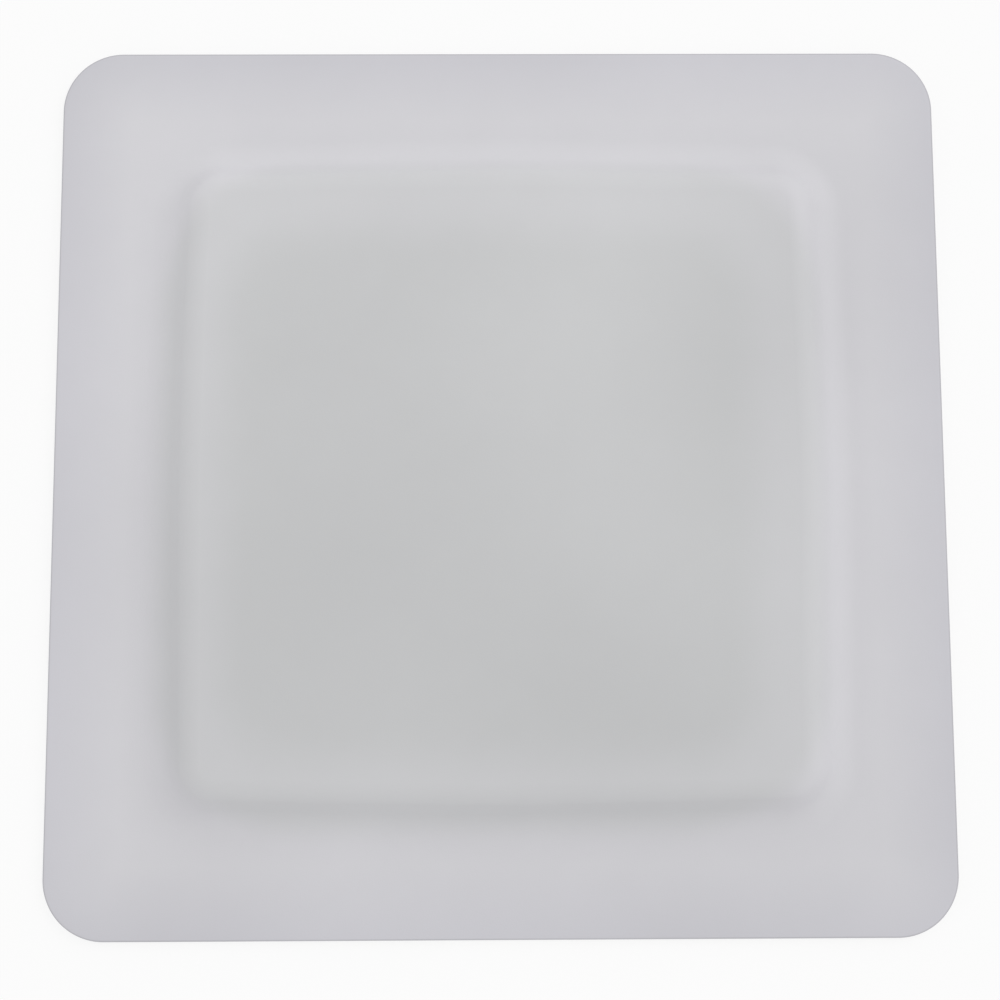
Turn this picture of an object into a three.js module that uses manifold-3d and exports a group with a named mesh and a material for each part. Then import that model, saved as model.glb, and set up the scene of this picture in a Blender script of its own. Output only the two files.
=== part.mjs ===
// A square island dressing for a wound: an absorbent foam pad between a perforated contact layer and a
// thin backing film, with a flat adhesive border all round. It lies on its release liner, backing up.
// Units are millimetres, +Z is up, and the origin is the middle of the underside.
import * as THREE from 'three';
import { LoftGeometry } from 'three/addons/geometries/LoftGeometry.js';
import { mergeVertices } from 'three/addons/utils/BufferGeometryUtils.js';
import Module from 'manifold-3d';

// Foam pad. Its sides bow outwards a little, and the taut film rounds its top edge.
const PAD_SIDE = 70;
const PAD_THICKNESS = 4;
const PAD_CORNER_RADIUS = 4;
const PAD_EDGE_ROUNDING = 3;
const PAD_SIDE_BOW = 0.6;

// Die-cut outline that film, contact layer and liner share.
const BORDER_WIDTH = 15;
const OUTLINE_CORNER_RADIUS = 6.8;

// Backing film. It bends off the pad's top, slopes down and eases out flat onto the border.
const FILM_THICKNESS = 0.3;
const FILM_TO_PAD_CLEARANCE = 0.3;
const SHOULDER_RADIUS = 3.1;
const FOOT_RADIUS = 4.9;
const SKIRT_SLOPE = THREE.MathUtils.degToRad(50);

// Contact layer, perforated under the pad.
const CONTACT_LAYER_THICKNESS = 0.25;
const PERFORATION_DIAMETER = 2.4;
const PERFORATION_PITCH = 7;
const PERFORATION_MARGIN = 7;

// Release liner in two leaves. The left one steps down past the split and lies under the right one.
const LINER_THICKNESS = 0.2;
const LINER_TAB_LENGTH = 15;
const LINER_STEP_LENGTH = 1;
const LINER_SPLIT_CLEARANCE = 0.3;

// Facets: per corner of an outline, per side, per bend of the film, per pad edge and per perforation.
const CORNER_STEPS = 8;
const SIDE_STEPS = 8;
const BEND_STEPS = 5;
const EDGE_STEPS = 5;
const PERFORATION_FACETS = 8;

// How far a cutting solid runs past what it cuts.
const CUT_ALLOWANCE = 2;

const outlineSide = PAD_SIDE + 2 * BORDER_WIDTH;
const leafLevel = LINER_THICKNESS;
const contactLevel = leafLevel + LINER_THICKNESS;
const padLevel = contactLevel + CONTACT_LAYER_THICKNESS;
const splitX = -LINER_TAB_LENGTH / 2;
const edgeRounding = Math.min(PAD_EDGE_ROUNDING, PAD_CORNER_RADIUS, PAD_THICKNESS);

// A full turn of a square with rounded corners, counter-clockwise. The bow pushes the middle of each
// side outwards and dies away towards the corners.
function squareOutline(side, cornerRadius, bow = 0) {
  const straight = side / 2 - cornerRadius;
  const origin = new THREE.Vector2();
  const points = [];
  for (let quarter = 0; quarter < 4; quarter += 1) {
    const turn = (quarter * Math.PI) / 2;
    for (let step = 0; step < SIDE_STEPS; step += 1) {
      const along = (2 * step) / SIDE_STEPS - 1;
      const bulge = bow * Math.cos((along * Math.PI) / 2) ** 2;
      const point = new THREE.Vector2(side / 2 + bulge, along * straight);
      points.push(point.rotateAround(origin, turn));
    }
    for (let step = 0; step < CORNER_STEPS; step += 1) {
      const angle = ((step / CORNER_STEPS) * Math.PI) / 2;
      const point = new THREE.Vector2(
        straight + cornerRadius * Math.cos(angle),
        straight + cornerRadius * Math.sin(angle),
      );
      points.push(point.rotateAround(origin, turn));
    }
  }
  return points;
}

function ringAt(outline, height) {
  return outline.map((point) => new THREE.Vector3(point.x, point.y, height));
}

// The pad's outline moved outwards by reach.
function padRing(reach, height) {
  const side = PAD_SIDE + 2 * reach;
  return ringAt(squareOutline(side, PAD_CORNER_RADIUS + reach, PAD_SIDE_BOW), height);
}

function dieCutOutline() {
  return squareOutline(outlineSide, OUTLINE_CORNER_RADIUS);
}

// Foam pad: straight sides, rounded over at the top.
function foamPadGeometry() {
  const sections = [padRing(0, 0)];
  for (let step = 0; step <= EDGE_STEPS; step += 1) {
    const lean = ((step / EDGE_STEPS) * Math.PI) / 2;
    const reach = edgeRounding * (Math.cos(lean) - 1);
    const height = PAD_THICKNESS + edgeRounding * (Math.sin(lean) - 1);
    sections.push(padRing(reach, height));
  }
  return new LoftGeometry(sections, { capStart: true, capEnd: true });
}

// One face of the film's skirt as rings from its foot up to the flat top. lift is the distance from the
// film's underside, and heights are measured from the contact layer.
function skirtRings(lift) {
  const bendHeight = 1 - Math.cos(SKIRT_SLOPE);
  const bendShare = Math.min(1, PAD_THICKNESS / ((FOOT_RADIUS + SHOULDER_RADIUS) * bendHeight));
  const footRadius = FOOT_RADIUS * bendShare;
  const shoulderRadius = SHOULDER_RADIUS * bendShare;
  const bendRadii = footRadius + shoulderRadius;
  const slopeLength = (PAD_THICKNESS - bendRadii * bendHeight) / Math.sin(SKIRT_SLOPE);
  const shoulderReach = FILM_TO_PAD_CLEARANCE - edgeRounding;
  const footReach =
    shoulderReach + bendRadii * Math.sin(SKIRT_SLOPE) + slopeLength * Math.cos(SKIRT_SLOPE);
  const foot = [];
  const shoulder = [];
  for (let step = 0; step <= BEND_STEPS; step += 1) {
    const slope = (SKIRT_SLOPE * step) / BEND_STEPS;
    const footCurve = footRadius - lift;
    const shoulderCurve = shoulderRadius + lift;
    foot.push(
      padRing(footReach - footCurve * Math.sin(slope), footRadius - footCurve * Math.cos(slope)),
    );
    shoulder.unshift(
      padRing(
        shoulderReach + shoulderCurve * Math.sin(slope),
        PAD_THICKNESS - shoulderRadius + shoulderCurve * Math.cos(slope),
      ),
    );
  }
  return [...foot, ...shoulder];
}

// Backing film: one skin of even thickness. The loft starts in the middle of the underside, runs out to
// the die-cut edge and comes back over the top to the middle again.
function backingFilmGeometry() {
  const border = dieCutOutline();
  const middle = border.map(() => new THREE.Vector2());
  return new LoftGeometry([
    ringAt(middle, PAD_THICKNESS),
    ...skirtRings(0).reverse(),
    ringAt(border, 0),
    ringAt(border, FILM_THICKNESS),
    ...skirtRings(FILM_THICKNESS),
    ringAt(middle, PAD_THICKNESS + FILM_THICKNESS),
  ]);
}

// Contact layer: the full outline with a square field of round holes under the pad.
function contactLayerGeometry() {
  const sheet = new THREE.Shape(dieCutOutline());
  const field = PAD_SIDE - 2 * PERFORATION_MARGIN;
  const holesPerRow = Math.floor(field / PERFORATION_PITCH) + 1;
  const first = (-(holesPerRow - 1) * PERFORATION_PITCH) / 2;
  for (let row = 0; row < holesPerRow; row += 1) {
    for (let column = 0; column < holesPerRow; column += 1) {
      const hole = new THREE.Path();
      const x = first + column * PERFORATION_PITCH;
      const y = first + row * PERFORATION_PITCH;
      hole.absarc(x, y, PERFORATION_DIAMETER / 2, 0, 2 * Math.PI);
      sheet.holes.push(hole);
    }
  }
  return new THREE.ExtrudeGeometry(sheet, {
    depth: CONTACT_LAYER_THICKNESS,
    bevelEnabled: false,
    curveSegments: PERFORATION_FACETS / 2,
  });
}

const wasm = await Module();
wasm.setup();

function toManifold(geometry) {
  const bare = geometry.clone();
  bare.deleteAttribute('normal');
  bare.deleteAttribute('uv');
  const merged = mergeVertices(bare);
  return new wasm.Manifold(
    new wasm.Mesh({
      numProp: 3,
      vertProperties: merged.attributes.position.array,
      triVerts: Uint32Array.from(merged.index.array),
    }),
  );
}

function toGeometry(solid) {
  const mesh = solid.getMesh();
  const geometry = new THREE.BufferGeometry();
  geometry.setAttribute('position', new THREE.BufferAttribute(mesh.vertProperties, 3));
  geometry.setIndex(new THREE.BufferAttribute(mesh.triVerts, 1));
  geometry.computeVertexNormals();
  return geometry;
}

// A liner leaf of the given section, in X and Z, run across the dressing and cut to its outline.
function linerLeafGeometry(sectionPoints) {
  const stripWidth = outlineSide + 2 * CUT_ALLOWANCE;
  const strip = new THREE.ExtrudeGeometry(
    new THREE.Shape(sectionPoints.map(([x, z]) => new THREE.Vector2(x, z))),
    { depth: stripWidth, bevelEnabled: false },
  );
  strip.rotateX(Math.PI / 2);
  strip.translate(0, stripWidth / 2, 0);
  const cutter = new THREE.ExtrudeGeometry(new THREE.Shape(dieCutOutline()), {
    depth: contactLevel + 2 * CUT_ALLOWANCE,
    bevelEnabled: false,
  });
  cutter.translate(0, 0, -CUT_ALLOWANCE);
  return toGeometry(toManifold(strip).intersect(toManifold(cutter)));
}

// Left leaf: flat under the border, then a step down at the split to the loose pull tab.
function leftLeafGeometry() {
  const farX = -outlineSide / 2 - CUT_ALLOWANCE;
  const stepEndX = splitX + LINER_STEP_LENGTH;
  const tabEndX = splitX + LINER_TAB_LENGTH;
  return linerLeafGeometry([
    [farX, leafLevel],
    [splitX, leafLevel],
    [stepEndX, 0],
    [tabEndX, 0],
    [tabEndX, LINER_THICKNESS],
    [stepEndX, LINER_THICKNESS],
    [splitX, contactLevel],
    [farX, contactLevel],
  ]);
}

// Right leaf: flat all over, clear of the other leaf's step.
function rightLeafGeometry() {
  const nearX = splitX + LINER_STEP_LENGTH + LINER_SPLIT_CLEARANCE;
  const farX = outlineSide / 2 + CUT_ALLOWANCE;
  return linerLeafGeometry([
    [nearX, leafLevel],
    [farX, leafLevel],
    [farX, contactLevel],
    [nearX, contactLevel],
  ]);
}

const filmMaterial = new THREE.MeshStandardMaterial({ color: 0xcdccd0, roughness: 0.62 });
const foamMaterial = new THREE.MeshStandardMaterial({ color: 0xe8e4da, roughness: 0.95 });
const contactMaterial = new THREE.MeshStandardMaterial({ color: 0xe2dcd4, roughness: 0.35 });
const linerMaterial = new THREE.MeshStandardMaterial({ color: 0xf1f1ee, roughness: 0.5 });

const dressing = new THREE.Group();

function addPiece(name, geometry, material, level) {
  const piece = new THREE.Mesh(geometry, material);
  piece.name = name;
  piece.position.z = level;
  dressing.add(piece);
}

addPiece('backing_film', backingFilmGeometry(), filmMaterial, padLevel);
addPiece('foam_pad', foamPadGeometry(), foamMaterial, padLevel);
addPiece('wound_contact_layer', contactLayerGeometry(), contactMaterial, contactLevel);
addPiece('release_liner_left', leftLeafGeometry(), linerMaterial, 0);
addPiece('release_liner_right', rightLeafGeometry(), linerMaterial, 0);

export default dressing;
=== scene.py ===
"""Looks of a square foam island dressing that lies on its release liner, and a studio stage."""
import math

import bmesh
import bpy
from bpy.props import FloatProperty, FloatVectorProperty, PointerProperty
from mathutils import Matrix, Vector, noise


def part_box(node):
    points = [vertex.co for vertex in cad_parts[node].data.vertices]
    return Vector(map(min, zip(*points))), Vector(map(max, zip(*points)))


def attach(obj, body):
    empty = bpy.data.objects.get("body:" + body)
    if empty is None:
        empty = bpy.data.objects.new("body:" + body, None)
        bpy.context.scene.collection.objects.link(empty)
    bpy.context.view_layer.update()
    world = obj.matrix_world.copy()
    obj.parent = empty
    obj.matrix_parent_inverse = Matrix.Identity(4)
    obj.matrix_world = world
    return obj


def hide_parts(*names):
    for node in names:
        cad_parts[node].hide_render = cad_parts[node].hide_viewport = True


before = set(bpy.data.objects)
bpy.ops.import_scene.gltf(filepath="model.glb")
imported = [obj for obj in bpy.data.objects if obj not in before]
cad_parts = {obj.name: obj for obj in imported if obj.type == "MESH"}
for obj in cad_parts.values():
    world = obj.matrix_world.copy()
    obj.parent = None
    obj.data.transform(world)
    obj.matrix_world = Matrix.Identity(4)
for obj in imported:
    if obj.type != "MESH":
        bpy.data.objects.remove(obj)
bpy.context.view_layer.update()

bl_info = {
    "name": "Island dressing",
    "version": (1, 0, 0),
    "blender": (4, 5, 0),
    "location": "3D View > Sidebar > Dressing",
    "description": "Builds a foam island dressing on its release liner, and a studio stage",
    "category": "Object",
}

MM = 0.001
BODY = "root"

FILM_LOW, FILM_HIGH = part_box("backing_film")
PAD_LOW, PAD_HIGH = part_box("foam_pad")
CONTACT_LOW, CONTACT_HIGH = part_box("wound_contact_layer")
LEFT_LOW, LEFT_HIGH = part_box("release_liner_left")
RIGHT_LOW, RIGHT_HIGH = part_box("release_liner_right")

OUTLINE_HALF = FILM_HIGH.x
PAD_THICKNESS = PAD_HIGH.z - PAD_LOW.z
FILM_THICKNESS = FILM_HIGH.z - PAD_HIGH.z
BORDER_TOP = FILM_LOW.z + FILM_THICKNESS
CONTACT_THICKNESS = CONTACT_HIGH.z - CONTACT_LOW.z
LINER_THICKNESS = RIGHT_HIGH.z - RIGHT_LOW.z


def linear(red, green, blue):
    """The shader's linear values of a colour that is written as it looks on screen."""
    return tuple(
        c / 12.92 if c <= 0.04045 else ((c + 0.055) / 1.055) ** 2.4 for c in (red, green, blue)
    )


def length_property(name, description, default):
    return FloatProperty(
        name=name, description=description, default=default, subtype="DISTANCE", unit="LENGTH",
        precision=5,
    )


def colour_property(name, description, default):
    return FloatVectorProperty(
        name=name, description=description, default=default, subtype="COLOR", min=0, max=1, size=3
    )


class DressingSizes(bpy.types.PropertyGroup):
    """Sizes of the dressing that the frame's boxes don't give"""

    pad_bow: length_property("Pad bow", "How far each side of the pad bows out", 0.6 * MM)
    pad_corner: length_property("Pad corner", "Radius of the pad's corners in plan", 4 * MM)
    pad_rounding: length_property("Pad rounding", "Radius of the pad's top edge", 3 * MM)
    outline_corner: length_property("Outline corner", "Radius of the die-cut corners", 6.8 * MM)
    shoulder: length_property("Shoulder", "Inner radius of the film's bend off the pad", 3.1 * MM)
    foot: length_property("Foot", "Inner radius of the film's bend onto the border", 4.9 * MM)
    clearance: length_property("Clearance", "Film's shoulder to the pad's edge", 0.3 * MM)
    slope: FloatProperty(
        name="Slope", description="Steepest slope of the film's skirt", default=math.radians(50),
        subtype="ANGLE", unit="ROTATION",
    )
    cut_edge: length_property("Cut edge", "Rounding of the film's cut edge", 0.09 * MM)
    wave: length_property("Wave", "Height of the film's slow waves over the pad", 0.07 * MM)
    wander: length_property("Wander", "How far the film's skirt wanders in plan", 0.22 * MM)
    hole: length_property("Perforation", "Diameter of a perforation", 2.4 * MM)
    pitch: length_property("Pitch", "Spacing of the perforations", 7 * MM)
    margin: length_property("Margin", "Pad's side to the outer perforations", 7 * MM)
    liner_step: length_property("Liner step", "Length of the step down to the pull tab", 1 * MM)
    liner_gap: length_property("Liner gap", "Gap between the step and the other leaf", 0.3 * MM)


class DressingColours(bpy.types.PropertyGroup):
    """Colours of the dressing's layers, some of them with painted shade"""

    border: colour_property("Border", "Film over the adhesive border", linear(0.813, 0.810, 0.825))
    # Rim: painted shade, the border darker towards its cut edge
    rim: colour_property("Rim", "Border towards its cut edge", linear(0.780, 0.777, 0.799))
    # Film near the pad's edges and over the pad: the foam shows through, and the darker tone over
    # the middle of the pad is painted shade as well
    pad_edge: colour_property("Pad edge", "Film near the pad's edges", linear(0.789, 0.790, 0.798))
    over_pad_and_shade: colour_property("Over pad", "Film over the foam pad", linear(0.767, 0.770, 0.774))
    foam: colour_property("Foam", "Open-cell foam of the pad", linear(0.91, 0.89, 0.85))
    gel: colour_property("Gel", "Soft contact layer", linear(0.86, 0.84, 0.82))
    liner: colour_property("Liner", "Release paper", linear(0.93, 0.93, 0.92))


def sizes():
    return bpy.context.scene.dressing_sizes


def colours():
    return bpy.context.scene.dressing_colours


def pad_side_half():
    return PAD_HIGH.x - sizes().pad_bow


# Plan of the sheets: square rings of a grid become squares with rounded corners

CORNER_SHARE = 0.32


def plan_point(u, v, half, radius, bow=0.0):
    """Where the point u, v of a grid from -1 to 1 lies on its ring."""
    if u == 0 and v == 0:
        return 0.0, 0.0
    on_x = abs(u) >= abs(v)
    main, other = (u, v) if on_x else (v, u)
    along = other / abs(main)
    straight = half - radius
    turn = abs(along) - (1 - CORNER_SHARE)
    if turn <= 0:
        share = along / (1 - CORNER_SHARE)
        out = half + bow * math.cos(share * math.pi / 2) ** 2
        side = straight * share
    else:
        angle = turn / CORNER_SHARE * math.pi / 4
        out = straight + radius * math.cos(angle)
        side = math.copysign(straight + radius * math.sin(angle), along)
    out = math.copysign(out, main)
    return (out, side) if on_x else (side, out)


def ring_sheet(plan):
    """A sheet from its rings, each a half side, corner radius, bow and height, middle first."""
    last = len(plan) - 1
    bm = bmesh.new()
    bmesh.ops.create_grid(bm, x_segments=2 * last, y_segments=2 * last, size=1)
    for vert in bm.verts:
        u, v = vert.co.x, vert.co.y
        half, radius, bow, height = plan[round(max(abs(u), abs(v)) * last)]
        vert.co = (*plan_point(u, v, half, radius, bow), height)
    return bm


def flat_sheet(rings, height):
    """A flat sheet of the dressing's outline."""
    corner = sizes().outline_corner
    shares = [ring / rings for ring in range(rings + 1)]
    return ring_sheet([(OUTLINE_HALF * s, corner * s ** 2, 0.0, height) for s in shares])


# Section of the film: two bends with a straight slope between them

TOP_RINGS, BEND_RINGS, SLOPE_RINGS, BORDER_RINGS = 26, 14, 5, 24


def skirt_reaches():
    """Reach of the shoulder's and the foot's centre from the pad's side, and the slope's length."""
    s = sizes()
    radii = s.foot + s.shoulder
    slope_length = (PAD_THICKNESS - radii * (1 - math.cos(s.slope))) / math.sin(s.slope)
    shoulder_reach = s.clearance - s.pad_rounding
    foot_reach = shoulder_reach + radii * math.sin(s.slope) + slope_length * math.cos(s.slope)
    return shoulder_reach, foot_reach, slope_length


def skirt_section():
    """The film's upper face over the skirt, as reach and height, from the shoulder to the foot."""
    s = sizes()
    shoulder_reach, foot_reach, slope_length = skirt_reaches()
    shoulder, foot = s.shoulder + FILM_THICKNESS, s.foot - FILM_THICKNESS
    slopes = [s.slope * step / BEND_RINGS for step in range(BEND_RINGS + 1)]
    section = [
        (shoulder_reach + shoulder * math.sin(a), FILM_HIGH.z - shoulder * (1 - math.cos(a)))
        for a in slopes
    ]
    reach, height = section[-1]
    for step in range(1, SLOPE_RINGS):
        run = slope_length * step / SLOPE_RINGS
        section.append((reach + run * math.cos(s.slope), height - run * math.sin(s.slope)))
    section += [
        (foot_reach - foot * math.sin(a), BORDER_TOP + foot * (1 - math.cos(a)))
        for a in reversed(slopes)
    ]
    return section


def film_plan():
    """Rings of the film's upper face, from the middle of the pad to the cut edge."""
    s = sizes()
    pad_half = pad_side_half()
    section = skirt_section()
    top_half, top_radius = pad_half + section[0][0], s.pad_corner + section[0][0]
    foot_half, foot_radius = pad_half + section[-1][0], s.pad_corner + section[-1][0]
    plan = []
    for ring in range(TOP_RINGS):
        share = ring / TOP_RINGS
        plan.append((top_half * share, top_radius * share ** 4, s.pad_bow * share, FILM_HIGH.z))
    for reach, height in section:
        plan.append((pad_half + reach, s.pad_corner + reach, s.pad_bow, height))
    for ring in range(1, BORDER_RINGS + 1):
        share = ring / BORDER_RINGS
        half = foot_half + (OUTLINE_HALF - foot_half) * share
        radius = foot_radius + (s.outline_corner - foot_radius) * share
        plan.append((half, radius, s.pad_bow * (1 - share) ** 2, BORDER_TOP))
    return plan


# Slow waves of the film, each a share, a length and a layer of the noise, and the most they lift it
WAVES = ((0.4, 19 * MM, 3.1), (0.6, 37 * MM, 8.7))
WAVE_CREST = 0.6
WANDER_LENGTH = 16 * MM
WANDER_LAYERS = (21.3, 47.9)


def slow_noise(x, y, length, layer):
    """Smooth noise over the plan, from about -1 to 1, with features of the given length."""
    return noise.noise(Vector((x / length, y / length, layer)))


def relax_film(bm):
    """Slow waves over the pad, and a skirt that wanders a little. The border stays flat."""
    s = sizes()
    rise = FILM_HIGH.z - BORDER_TOP
    for vert in bm.verts:
        x, y, z = vert.co
        lifted = min(1.0, max(0.0, (z - BORDER_TOP) / rise))
        if lifted > 0:
            wave = sum(share * slow_noise(x, y, length, layer) for share, length, layer in WAVES)
            vert.co.z += s.wave * (wave - WAVE_CREST) * lifted
            for axis, layer in enumerate(WANDER_LAYERS):
                vert.co[axis] += s.wander * slow_noise(x, y, WANDER_LENGTH, layer) * lifted


# Making pieces

TOLERANCE = 0.01 * MM
CUT_TOLERANCE = 0.001 * MM
SMOOTH_UP_TO = math.radians(50)
ROUND_EDGES_FROM = math.radians(60)
CUT_EDGE_SEGMENTS = 3


def extrude_rim(bm, edges):
    """Runs a sheet on from some of its rim's edges, and gives the new vertices and rim edges."""
    made = bmesh.ops.extrude_edge_only(bm, edges=edges)["geom"]
    verts = {g for g in made if isinstance(g, bmesh.types.BMVert)}
    rim = [g for g in made if isinstance(g, bmesh.types.BMEdge) and set(g.verts) <= verts]
    return verts, rim


def face_up(bm):
    """Turns the faces of an open sheet upwards."""
    bmesh.ops.recalc_face_normals(bm, faces=bm.faces)
    if sum(face.normal.z for face in bm.faces) < 0:
        bmesh.ops.reverse_faces(bm, faces=bm.faces)


def object_from(bm, name, material):
    mesh = bpy.data.meshes.new(name)
    bm.to_mesh(mesh)
    bm.free()
    mesh.materials.append(material)
    piece = bpy.data.objects.new(name, mesh)
    bpy.context.collection.objects.link(piece)
    return piece


def thicken(piece, thickness, edge=0.0):
    """Gives a sheet its thickness below it and, where edge is given, rounds its cut edge."""
    wall = piece.modifiers.new("Thickness", "SOLIDIFY")
    wall.thickness = thickness
    wall.offset = -1
    wall.use_even_offset = True
    if edge:
        rounding = piece.modifiers.new("Cut edge", "BEVEL")
        rounding.width = edge
        rounding.segments = CUT_EDGE_SEGMENTS
        rounding.limit_method = "ANGLE"
        rounding.angle_limit = ROUND_EDGES_FROM


def settle(piece):
    """Applies a piece's modifiers and smooths its faces, but for its sharp edges."""
    graph = bpy.context.evaluated_depsgraph_get()
    mesh = bpy.data.meshes.new_from_object(piece.evaluated_get(graph), depsgraph=graph)
    piece.modifiers.clear()
    piece.data = mesh
    mesh.shade_smooth()
    mesh.set_sharp_from_angle(angle=SMOOTH_UP_TO)


def dress(piece, slot, *nodes):
    """Lets a finished piece ride on the body and stand for its CAD nodes."""
    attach(piece, BODY)
    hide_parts(*nodes)


# Finishes


class Finish:
    """A material with one Principled shader, and short ways to add its nodes."""

    def __init__(self, name, colour, roughness):
        self.material = bpy.data.materials.new(name)
        self.material.use_nodes = True
        self.tree = self.material.node_tree
        self.shader = self.tree.nodes["Principled BSDF"]
        self.shader.inputs["Base Color"].default_value = (*colour, 1)
        self.shader.inputs["Roughness"].default_value = roughness
        self.place = self.tree.nodes.new("ShaderNodeTexCoord").outputs["Object"]

    def join(self, source, target):
        """Links the output of one node to the input of another."""
        self.tree.links.new(source, target)

    def feed(self, socket, value):
        """Gives an input a constant or the output of another node."""
        if isinstance(value, bpy.types.NodeSocket):
            self.join(value, socket)
        elif socket.type == "RGBA":
            socket.default_value = (*value, 1)
        else:
            socket.default_value = value

    def vector(self, operation, *values):
        """Vector arithmetic on constants or the outputs of other nodes."""
        node = self.tree.nodes.new("ShaderNodeVectorMath")
        node.operation = operation
        for socket, value in zip(node.inputs, values):
            self.feed(socket, value)
        return node.outputs["Value" if operation in ("LENGTH", "DOT_PRODUCT") else "Vector"]

    def beyond_square(self, half, middle=(0, 0, 0)):
        """How far a place in the plan lies outside a square, with round corners."""
        place = self.vector("ABSOLUTE", self.vector("SUBTRACT", self.place, middle))
        beyond = self.vector("SUBTRACT", place, (half, half, 1))
        return self.vector("LENGTH", self.vector("MAXIMUM", beyond, (0, 0, 0)))

    def noise(self, length, detail=2.0, stretch=(1, 1, 1), shift=0.0):
        """Noise whose features are about length across, from 0 to 1."""
        mapping = self.tree.nodes.new("ShaderNodeMapping")
        mapping.inputs["Location"].default_value = (0, 0, shift)
        mapping.inputs["Scale"].default_value = stretch
        self.join(self.place, mapping.inputs["Vector"])
        node = self.tree.nodes.new("ShaderNodeTexNoise")
        node.inputs["Scale"].default_value = 1 / length
        node.inputs["Detail"].default_value = detail
        self.join(mapping.outputs["Vector"], node.inputs["Vector"])
        return node.outputs["Fac"]

    def cells(self, length):
        """Distance to the nearest of scattered points, in cells about length across."""
        node = self.tree.nodes.new("ShaderNodeTexVoronoi")
        node.inputs["Scale"].default_value = 1 / length
        self.join(self.place, node.inputs["Vector"])
        return node.outputs["Distance"]

    def spread(self, value, low, high, to_low=0.0, to_high=1.0, smooth=False):
        """Carries a value from the range low to high to another range."""
        node = self.tree.nodes.new("ShaderNodeMapRange")
        node.interpolation_type = "SMOOTHSTEP" if smooth else "LINEAR"
        self.join(value, node.inputs["Value"])
        for name, number in (
            ("From Min", low), ("From Max", high), ("To Min", to_low), ("To Max", to_high)
        ):
            node.inputs[name].default_value = number
        return node.outputs["Result"]

    def mix(self, share, first, second):
        """Blends two colours by a share from 0 to 1."""
        node = self.tree.nodes.new("ShaderNodeMix")
        node.data_type = "RGBA"
        self.join(share, node.inputs["Factor"])
        sockets = [socket for socket in node.inputs if socket.type == "RGBA"]
        self.feed(sockets[0], first)
        self.feed(sockets[1], second)
        return next(socket for socket in node.outputs if socket.type == "RGBA")

    def tone(self, colour, value, low, high):
        """Darkens and lightens a colour by a value from 0 to 1."""
        node = self.tree.nodes.new("ShaderNodeVectorMath")
        node.operation = "SCALE"
        self.feed(node.inputs[0], colour)
        self.join(self.spread(value, 0, 1, low, high), node.inputs["Scale"])
        return node.outputs["Vector"]

    def bump(self, height, distance, strength, onto=None):
        """Relief from a height, laid onto another relief where one is given."""
        node = self.tree.nodes.new("ShaderNodeBump")
        node.inputs["Distance"].default_value = distance
        node.inputs["Strength"].default_value = strength
        self.join(height, node.inputs["Height"])
        if onto is not None:
            self.join(onto, node.inputs["Normal"])
        return node.outputs["Normal"]

    def colour(self, source):
        self.join(source, self.shader.inputs["Base Color"])

    def roughness(self, source):
        self.join(source, self.shader.inputs["Roughness"])

    def normal(self, source):
        self.join(source, self.shader.inputs["Normal"])


# Tint of the film. The pad shows through round a core square, and painted shade darkens that core
# too.
# The core lies a little off the middle, towards the lower left: the painted shade reaches further
# out on the left and bottom walls, and the border's lighter tone, a painted highlight there, begins
# further in on the right and top walls. The two bands round the core are where the tone over the
# foam ends and where the tone of the border begins.
CORE_HALF = 21 * MM
PAINTED_LIGHT_CORE_MIDDLE = (-1.2 * MM, -1.2 * MM, 0)
FOAM_TONE_ENDS = (4.5 * MM, 11.5 * MM)
BORDER_TONE_STARTS = (14 * MM, 18 * MM)
# Painted shade: the border darkens over its outer 8 mm towards the cut edge
RIM_SHADE_HALF = 42 * MM
RIM_SHADE_WIDTH = 8 * MM
# Painted shadow: a thin dark line along the film's cut edge
CUT_LINE_PAINTED_SHADE = 0.82
CUT_SHADOW_LINE = (0.2 * MM, 0.1 * MM)
PATCH_LENGTH = 45 * MM
PATCH_SHIFT = 1.8
PATCH_TONES = (1.12, 0.9)
# Painted light: the film grows lighter towards the top and a little towards the left
PAINTED_LIGHT_WAY = (-0.2, 1, 0)
PAINTED_LIGHT_TONES = (0.988, 1.028)


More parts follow.
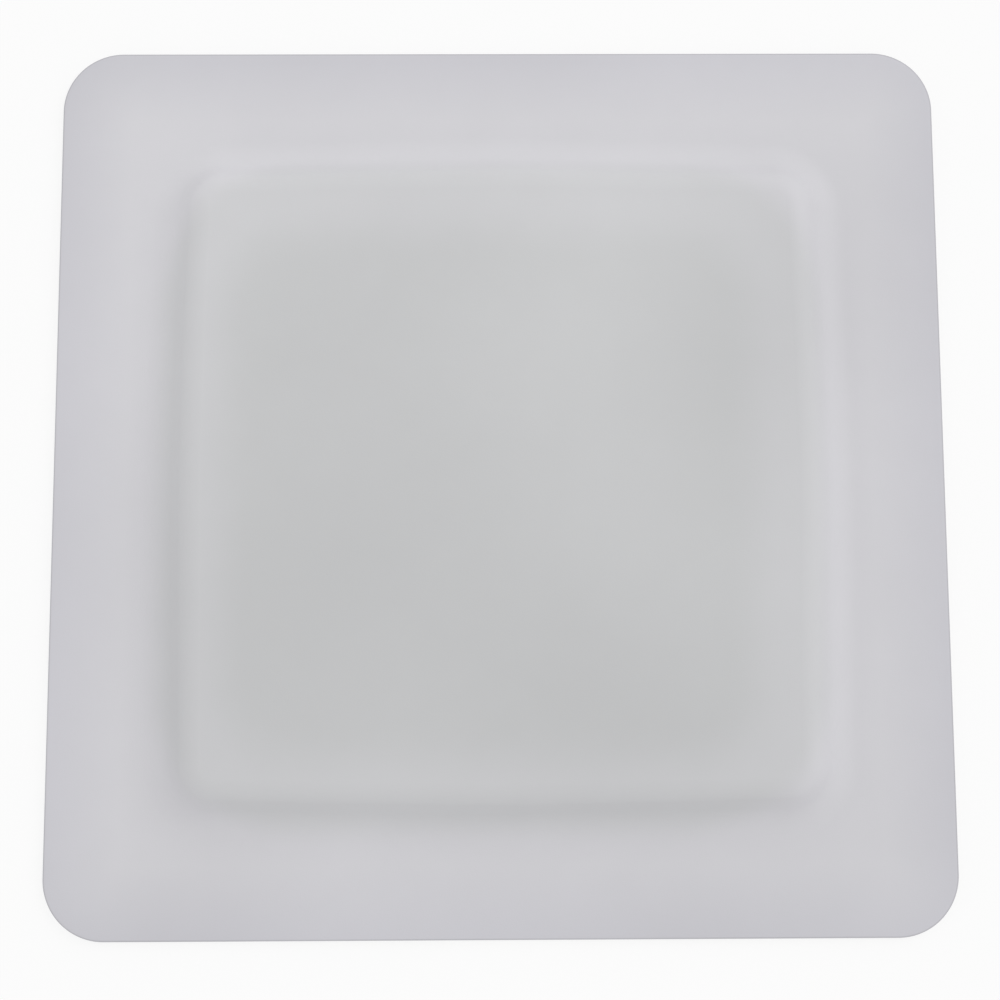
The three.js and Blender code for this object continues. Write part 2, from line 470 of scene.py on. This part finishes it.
def film_material():
    """Matt film: neutral grey over the foam, cooler over the border. Painted shade darkens the
    middle of the pad, the lower left, the rim and a thin line at the cut edge; painted light
    lightens it towards the top.
    """
    c = colours()
    film = Finish("Matt film", c.border, 0.6)
    # Painted shade over the middle of the pad, set off towards the lower left, so that the lighter
    # tones paint a highlight sooner on the right and top walls
    from_core = film.beyond_square(CORE_HALF, PAINTED_LIGHT_CORE_MIDDLE)
    over_edge = film.spread(from_core, *FOAM_TONE_ENDS, smooth=True)
    border_tone_and_highlight = film.spread(from_core, *BORDER_TONE_STARTS, smooth=True)
    # painted shade on the border towards the cut edge
    rim_shade = film.spread(film.beyond_square(RIM_SHADE_HALF), 0, RIM_SHADE_WIDTH)
    corner = sizes().outline_corner
    from_corners = film.beyond_square(OUTLINE_HALF - corner)
    # painted shadow along the cut edge
    cut = film.spread(from_corners, *(corner - inset for inset in CUT_SHADOW_LINE))
    colour = film.mix(over_edge, c.over_pad_and_shade, c.pad_edge)
    colour = film.mix(border_tone_and_highlight, colour, c.border)
    colour = film.mix(rim_shade, colour, c.rim)
    colour = film.mix(cut, colour, tuple(CUT_LINE_PAINTED_SHADE * part for part in c.rim))
    colour = film.tone(colour, film.noise(PATCH_LENGTH, 1, shift=PATCH_SHIFT), *PATCH_TONES)
    # painted light, lighter towards the top
    painted_light = film.vector("DOT_PRODUCT", film.place, PAINTED_LIGHT_WAY)
    colour = film.tone(colour, film.spread(painted_light, -OUTLINE_HALF, OUTLINE_HALF), *PAINTED_LIGHT_TONES)
    film.colour(film.tone(colour, film.noise(5 * MM, 3), 0.985, 1.015))
    film.roughness(film.spread(film.noise(3 * MM, 3), 0, 1, 0.56, 0.66))
    grain = film.bump(film.noise(0.16 * MM, 2), 0.02 * MM, 0.35)
    film.normal(film.bump(film.noise(2.2 * MM, 2), 0.05 * MM, 0.12, grain))
    film.shader.inputs["Specular IOR Level"].default_value = 0.35
    return film.material


def foam_material():
    """Cream open-cell foam with small cells, each pore darker at its bottom with painted shade."""
    foam = Finish("Open-cell foam", colours().foam, 0.95)
    pores_and_shade = foam.cells(0.45 * MM)
    # painted shade at the bottom of each pore
    foam.colour(foam.tone(colours().foam, pores_and_shade, 0.78, 1.08))
    foam.normal(foam.bump(pores_and_shade, 0.15 * MM, 0.8))
    return foam.material


def gel_material():
    """Soft milky gel sheet with a faint gloss."""
    gel = Finish("Contact gel", colours().gel, 0.32)
    gel.colour(gel.tone(colours().gel, gel.noise(5 * MM, 3), 0.95, 1.04))
    gel.roughness(gel.spread(gel.noise(1.5 * MM, 2), 0, 1, 0.24, 0.42))
    gel.normal(gel.bump(gel.noise(0.8 * MM, 2), 0.03 * MM, 0.3))
    return gel.material


def liner_material():
    """White release paper with fine fibres and a soft sheen."""
    liner = Finish("Release paper", colours().liner, 0.42)
    fibres = liner.noise(0.5 * MM, 4, (0.12, 1, 1))
    liner.colour(liner.tone(colours().liner, fibres, 0.955, 1.03))
    liner.roughness(liner.spread(liner.noise(4 * MM, 3), 0, 1, 0.34, 0.5))
    liner.normal(liner.bump(fibres, 0.02 * MM, 0.35))
    return liner.material


# Pieces. Each count is of steps or faces that are even along a bend, a side or a circle.

PAD_CORNER_SEGMENTS = 10
PAD_ROUNDING_SEGMENTS = 8
PAD_CUTS = 16
PAD_CUT_PITCH = 2.03 * MM
HOLE_SEGMENTS = 24
HOLE_RING_SHARE = 0.4
SHEET_BORDER_RINGS = 8
LEAF_RINGS = 24
STEP_RINGS = 8
TAB_RINGS = 12


class DRESSING_OT_pad(bpy.types.Operator):
    """Adds the absorbent foam pad"""

    bl_idname = "dressing.pad"
    bl_label = "Foam pad"

    def execute(self, context):
        s = sizes()
        half = pad_side_half()
        bm = bmesh.new()
        bmesh.ops.create_cube(bm, size=1)
        bmesh.ops.scale(bm, vec=(2 * half, 2 * half, PAD_THICKNESS), verts=bm.verts)
        bmesh.ops.translate(bm, vec=(0, 0, (PAD_LOW.z + PAD_HIGH.z) / 2), verts=bm.verts)
        upright = [e for e in bm.edges if abs(e.verts[0].co.z - e.verts[1].co.z) > MM]
        bmesh.ops.bevel(
            bm, geom=upright, offset=s.pad_corner, offset_type="OFFSET",
            segments=PAD_CORNER_SEGMENTS,
            profile=0.5, affect="EDGES", material=-1,
        )
        rim = [e for e in bm.edges if min(v.co.z for v in e.verts) > PAD_HIGH.z - TOLERANCE]
        bmesh.ops.bevel(
            bm, geom=rim, offset=s.pad_rounding, offset_type="OFFSET",
            segments=PAD_ROUNDING_SEGMENTS,
            profile=0.5, affect="EDGES", material=-1,
        )
        self.cross_cut(bm)
        self.bow_sides(bm, half)
        bmesh.ops.recalc_face_normals(bm, faces=bm.faces)
        piece = object_from(bm, "pad", foam_material())
        settle(piece)
        dress(piece, "foam", "foam_pad")
        return {"FINISHED"}

    def cross_cut(self, bm):
        """Cuts the faces about every 2 mm, so that the sides can bow."""
        for axis in (Vector((1, 0, 0)), Vector((0, 1, 0))):
            for cut in range(-PAD_CUTS, PAD_CUTS + 1):
                bmesh.ops.bisect_plane(
                    bm, geom=bm.verts[:] + bm.edges[:] + bm.faces[:], dist=CUT_TOLERANCE,
                    plane_co=axis * cut * PAD_CUT_PITCH, plane_no=axis,
                )

    def bow_sides(self, bm, half):
        """Bows the sides outwards, and lowers the top a little for the film's waves."""
        s = sizes()
        straight = half - s.pad_corner
        for vert in bm.verts:
            x, y, z = vert.co
            for index, (out, along) in enumerate(((x, y), (y, x))):
                share = max(-1.0, min(1.0, along / straight))
                vert.co[index] += s.pad_bow * math.cos(share * math.pi / 2) ** 2 * out / half
            if z > PAD_LOW.z + TOLERANCE:
                vert.co.z -= 2 * s.wave * (z - PAD_LOW.z) / PAD_THICKNESS


class DRESSING_OT_contact_layer(bpy.types.Operator):
    """Adds the perforated contact layer under the pad and border"""

    bl_idname = "dressing.contact_layer"
    bl_label = "Contact layer"

    def execute(self, context):
        s = sizes()
        bm = bmesh.new()
        self.cell(bm)
        per_row = int(2 * (pad_side_half() - s.margin) / s.pitch + 0.01) + 1
        self.repeat(bm, per_row)
        self.border(bm, per_row * s.pitch / 2)
        bmesh.ops.translate(bm, vec=(0, 0, CONTACT_HIGH.z), verts=bm.verts)
        face_up(bm)
        piece = object_from(bm, "contact_sheet", gel_material())
        thicken(piece, CONTACT_THICKNESS)
        settle(piece)
        dress(piece, "contact_layer", "wound_contact_layer")
        return {"FINISHED"}

    def cell(self, bm):
        """One perforation in its square of sheet."""
        s = sizes()
        bmesh.ops.create_circle(bm, segments=HOLE_SEGMENTS, radius=s.hole / 2)
        edges = bm.edges[:]
        for share in (HOLE_RING_SHARE, 1.0):
            verts, edges = extrude_rim(bm, edges)
            for vert in verts:
                way = vert.co.normalized()
                square = way * (s.pitch / 2 / max(abs(way.x), abs(way.y)))
                vert.co = (way * s.hole / 2).lerp(square, share)

    def repeat(self, bm, per_row):
        """Copies the first cell to every place of the field, and joins the cells."""
        pitch = sizes().pitch
        first = -(per_row - 1) * pitch / 2
        cell = bm.verts[:] + bm.edges[:] + bm.faces[:]
        for row in range(per_row):
            for column in range(per_row):
                if row == column == 0:
                    continue
                made = bmesh.ops.duplicate(bm, geom=cell)["geom"]
                verts = [g for g in made if isinstance(g, bmesh.types.BMVert)]
                bmesh.ops.translate(bm, vec=(column * pitch, row * pitch, 0), verts=verts)
        bmesh.ops.translate(bm, vec=(first, first, 0), verts=bm.verts)
        bmesh.ops.remove_doubles(bm, verts=bm.verts, dist=TOLERANCE)

    def border(self, bm, field_half):
        """Runs the sheet on from the square field to the die-cut outline."""
        corner = sizes().outline_corner
        places = {
            v: v.co / field_half for v in bm.verts
            if max(abs(v.co.x), abs(v.co.y)) > field_half - TOLERANCE
        }
        edges = [e for e in bm.edges if e.is_boundary and all(v in places for v in e.verts)]
        for ring in range(1, SHEET_BORDER_RINGS + 1):
            share = ring / SHEET_BORDER_RINGS
            half = field_half + (OUTLINE_HALF - field_half) * share
            verts, edges = extrude_rim(bm, edges)
            for vert in verts:
                old = next(
                    e.other_vert(vert) for e in vert.link_edges if e.other_vert(vert) not in verts
                )
                places[vert] = places[old]
                u, v, _ = places[vert]
                vert.co = (*plan_point(u, v, half, corner * share), 0)


class DRESSING_OT_liner(bpy.types.Operator):
    """Adds the two leaves of the release liner, one with a pull tab under the other"""

    bl_idname = "dressing.liner"
    bl_label = "Release liner"

    def execute(self, context):
        s = sizes()
        paper = liner_material()
        split = RIGHT_LOW.x - s.liner_gap - s.liner_step
        left = self.leaf("liner_left", paper, split, keep_left=True)
        dress(left, "liner", "release_liner_left")
        right = self.leaf("liner_right", paper, RIGHT_LOW.x, keep_left=False)
        dress(right, "liner", "release_liner_right")
        return {"FINISHED"}

    def leaf(self, name, paper, cut_x, keep_left):
        """One side of the liner, cut from the dressing's outline."""
        bm = flat_sheet(LEAF_RINGS, RIGHT_HIGH.z)
        bmesh.ops.bisect_plane(
            bm, geom=bm.verts[:] + bm.edges[:] + bm.faces[:], dist=CUT_TOLERANCE,
            plane_co=(cut_x, 0, 0), plane_no=(1, 0, 0), clear_outer=keep_left,
            clear_inner=not keep_left,
        )
        if keep_left:
            self.pull_tab(bm, cut_x)
        face_up(bm)
        piece = object_from(bm, name, paper)
        thicken(piece, LINER_THICKNESS)
        settle(piece)
        return piece

    def pull_tab(self, bm, cut_x):
        """Runs the left leaf on from the split, down a soft step and flat under the other leaf."""
        s = sizes()
        tab_length = LEFT_HIGH.x - cut_x - s.liner_step
        drop = RIGHT_HIGH.z - LINER_THICKNESS
        places = []
        for ring in range(1, STEP_RINGS + 1):
            share = ring / STEP_RINGS
            places.append((share * s.liner_step, drop * (1 - math.cos(share * math.pi)) / 2))
        for ring in range(1, TAB_RINGS + 1):
            places.append((s.liner_step + tab_length * ring / TAB_RINGS, drop))
        edges = [e for e in bm.edges if all(abs(v.co.x - cut_x) < TOLERANCE for v in e.verts)]
        for out, down in places:
            verts, edges = extrude_rim(bm, edges)
            for vert in verts:
                vert.co.x = cut_x + out
                vert.co.z = RIGHT_HIGH.z - down


class DRESSING_OT_film(bpy.types.Operator):
    """Adds the backing film over the pad and border"""

    bl_idname = "dressing.film"
    bl_label = "Backing film"

    def execute(self, context):
        bm = ring_sheet(film_plan())
        relax_film(bm)
        face_up(bm)
        piece = object_from(bm, "film", film_material())
        thicken(piece, FILM_THICKNESS, sizes().cut_edge)
        settle(piece)
        dress(piece, "backing", "backing_film")
        return {"FINISHED"}


# Stage

CAMERA_PLACE = Vector((-1.19, -19.85, 167.07)) * MM
CAMERA_WAY = Vector((0.00708, 0.10672, -0.99426))
CAMERA_RIGHT = Vector((0.99997, -0.00424, 0.00667))
CAMERA_LENS_MM = 54
SENSOR_MM = 36
CAMERA_NEAR = 0.01
FLOOR_SIDE = 3.0
FLOOR_GAP = 0.02 * MM
KEY_WAY = Vector((0.66, 0.42, 0.6))
KEY_DISTANCE = 2.5
KEY_SIDE = 1.6
KEY_WATTS = 12.2
ZENITH_LIGHT = 0.79
HORIZON_LIGHT = 1.03
FLOOR_GREY = 0.88
FLOOR_SHADE_SHARE = 0.2


def seen_rays(tree):
    """A share that is 1 for rays that see the background: from the camera, gloss or clear parts."""
    path = tree.nodes.new("ShaderNodeLightPath")
    share = path.outputs["Is Camera Ray"]
    for name in ("Is Glossy Ray", "Is Transmission Ray"):
        node = tree.nodes.new("ShaderNodeMath")
        node.operation = "MAXIMUM"
        tree.links.new(share, node.inputs[0])
        tree.links.new(path.outputs[name], node.inputs[1])
        share = node.outputs["Value"]
    return share


class DRESSING_OT_stage(bpy.types.Operator):
    """Adds the floor, the soft light and the camera"""

    bl_idname = "dressing.stage"
    bl_label = "Stage"

    def execute(self, context):
        self.floor(context)
        self.world(context)
        self.key_lamp(context)
        self.camera(context)
        context.scene.view_settings.view_transform = "Standard"
        return {"FINISHED"}

    def floor(self, context):
        """A pale floor that keeps a share of the dressing's shadow and otherwise shows white."""
        bm = bmesh.new()
        bmesh.ops.create_grid(bm, x_segments=1, y_segments=1, size=FLOOR_SIDE / 2)
        bmesh.ops.translate(bm, vec=(0, 0, -FLOOR_GAP), verts=bm.verts)
        material = bpy.data.materials.new("Pale floor")
        material.use_nodes = True
        tree = material.node_tree
        tree.nodes.clear()
        diffuse = tree.nodes.new("ShaderNodeBsdfDiffuse")
        diffuse.inputs["Color"].default_value = (FLOOR_GREY, FLOOR_GREY, FLOOR_GREY, 1)
        glow = tree.nodes.new("ShaderNodeEmission")
        glow.inputs["Color"].default_value = (1, 1, 1, 1)
        glow.inputs["Strength"].default_value = 1.0
        share = tree.nodes.new("ShaderNodeMath")
        share.operation = "MULTIPLY"
        share.inputs[1].default_value = 1 - FLOOR_SHADE_SHARE
        tree.links.new(seen_rays(tree), share.inputs[0])
        mix = tree.nodes.new("ShaderNodeMixShader")
        tree.links.new(share.outputs["Value"], mix.inputs["Fac"])
        tree.links.new(diffuse.outputs["BSDF"], mix.inputs[1])
        tree.links.new(glow.outputs["Emission"], mix.inputs[2])
        output = tree.nodes.new("ShaderNodeOutputMaterial")
        tree.links.new(mix.outputs["Shader"], output.inputs["Surface"])
        object_from(bm, "floor", material)

    def world(self, context):
        """Light from all round, brighter towards the horizon. What is seen of it is plain white."""
        world = bpy.data.worlds.new("Studio")
        world.use_nodes = True
        tree = world.node_tree
        way = tree.nodes.new("ShaderNodeSeparateXYZ")
        tree.links.new(tree.nodes.new("ShaderNodeTexCoord").outputs["Generated"], way.inputs[0])
        light = self.blend(tree, way.outputs["Z"], HORIZON_LIGHT, ZENITH_LIGHT)
        strength = self.blend(tree, seen_rays(tree), light, 1.0)
        background = tree.nodes["Background"]
        background.inputs["Color"].default_value = (1, 1, 1, 1)
        tree.links.new(strength, background.inputs["Strength"])
        context.scene.world = world

    def blend(self, tree, share, low, high):
        """A value from low to high as share goes from 0 to 1."""
        node = tree.nodes.new("ShaderNodeMapRange")
        tree.links.new(share, node.inputs["Value"])
        if isinstance(low, bpy.types.NodeSocket):
            tree.links.new(low, node.inputs["To Min"])
        else:
            node.inputs["To Min"].default_value = low
        node.inputs["To Max"].default_value = high
        return node.outputs["Result"]

    def key_lamp(self, context):
        """A large soft lamp, high at the right and far off, so that its light is even."""
        data = bpy.data.lights.new("Key lamp", "AREA")
        data.shape = "SQUARE"
        data.size = KEY_SIDE
        data.energy = KEY_WATTS
        lamp = bpy.data.objects.new("Key lamp", data)
        way = KEY_WAY.normalized()
        turn = (-way).to_track_quat("-Z", "Y").to_matrix().to_4x4()
        lamp.matrix_world = Matrix.Translation(way * KEY_DISTANCE) @ turn
        context.collection.objects.link(lamp)

    def camera(self, context):
        """The photograph's view, almost straight down on the backing."""
        data = bpy.data.cameras.new("Camera")
        data.lens = CAMERA_LENS_MM
        data.sensor_width = SENSOR_MM
        data.clip_start = CAMERA_NEAR
        camera = bpy.data.objects.new("Camera", data)
        place = CAMERA_PLACE + Vector((0, 0, BORDER_TOP))
        back = -CAMERA_WAY.normalized()
        up = back.cross(CAMERA_RIGHT).normalized()
        turn = Matrix((up.cross(back), up, back)).transposed().to_4x4()
        camera.matrix_world = Matrix.Translation(place) @ turn
        context.collection.objects.link(camera)
        context.scene.camera = camera


OPERATORS = (
    DRESSING_OT_liner,
    DRESSING_OT_contact_layer,
    DRESSING_OT_pad,
    DRESSING_OT_film,
    DRESSING_OT_stage,
)


class DRESSING_PT_panel(bpy.types.Panel):
    """Lists the dressing's pieces, sizes and colours"""

    bl_label = "Island dressing"
    bl_idname = "DRESSING_PT_panel"
    bl_space_type = "VIEW_3D"
    bl_region_type = "UI"
    bl_category = "Dressing"

    def draw(self, context):
        for group in (sizes(), colours()):
            box = self.layout.box()
            for name in group.__annotations__:
                box.prop(group, name)
        for operator in OPERATORS:
            self.layout.operator(operator.bl_idname)


CLASSES = (DressingSizes, DressingColours, *OPERATORS, DRESSING_PT_panel)


def register():
    for cls in CLASSES:
        bpy.utils.register_class(cls)
    bpy.types.Scene.dressing_sizes = PointerProperty(type=DressingSizes)
    bpy.types.Scene.dressing_colours = PointerProperty(type=DressingColours)


def unregister():
    del bpy.types.Scene.dressing_colours
    del bpy.types.Scene.dressing_sizes
    for cls in reversed(CLASSES):
        bpy.utils.unregister_class(cls)


def main():
    register()
    bpy.ops.dressing.stage()
    bpy.ops.dressing.liner()
    bpy.ops.dressing.contact_layer()
    bpy.ops.dressing.pad()
    bpy.ops.dressing.film()
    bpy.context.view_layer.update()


if __name__ == "__main__":
    main()
